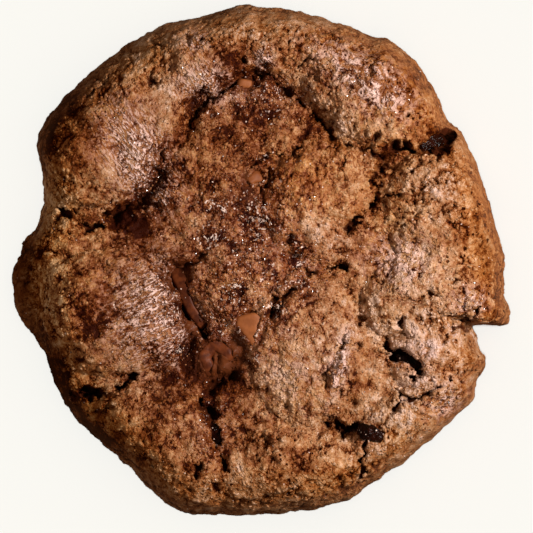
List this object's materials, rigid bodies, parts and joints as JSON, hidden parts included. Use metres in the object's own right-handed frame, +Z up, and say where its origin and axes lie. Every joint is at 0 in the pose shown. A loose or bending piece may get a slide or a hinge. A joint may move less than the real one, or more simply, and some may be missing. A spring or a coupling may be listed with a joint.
{
  "type": "chocolate cookie",
  "caption": "Thick round chocolate cookie with a crackled, swollen crust, split edges and glossy melted chocolate in its openings.",
  "frame": {"origin": "on the flat underside, below the middle of the outline", "axes": "+Z up through the crust; +X towards the side with the sharp notch, and +Y towards the smooth thick side, as the picture's right and top"},
  "size_m": [0.0896, 0.092, 0.0158],
  "materials": {
    "baked_dough": "crackled baked crust of a chocolate cookie, crumbly and brown, with darker splits and a faint sugary sheen on its swellings",
    "melted_chocolate": "smooth melted milk chocolate, set with a soft gloss",
    "dark_chocolate": "glossy dark chocolate, nearly black, in the openings of the crust"
  },
  "bodies": {
    "root": {"cookie_dough": "baked_dough", "chocolate_seam_left": "melted_chocolate", "chocolate_pool_upper": "melted_chocolate", "chocolate_pool_lower": "melted_chocolate", "chocolate_drop_middle": "melted_chocolate", "chocolate_drop_small": "melted_chocolate", "chocolate_drop_top": "melted_chocolate", "chocolate_chunk_rim": "dark_chocolate", "chocolate_chunk_right": "dark_chocolate", "chocolate_chunk_lower_right": "dark_chocolate", "chocolate_chunk_bottom": "dark_chocolate"}
  },
  "joints": []
}
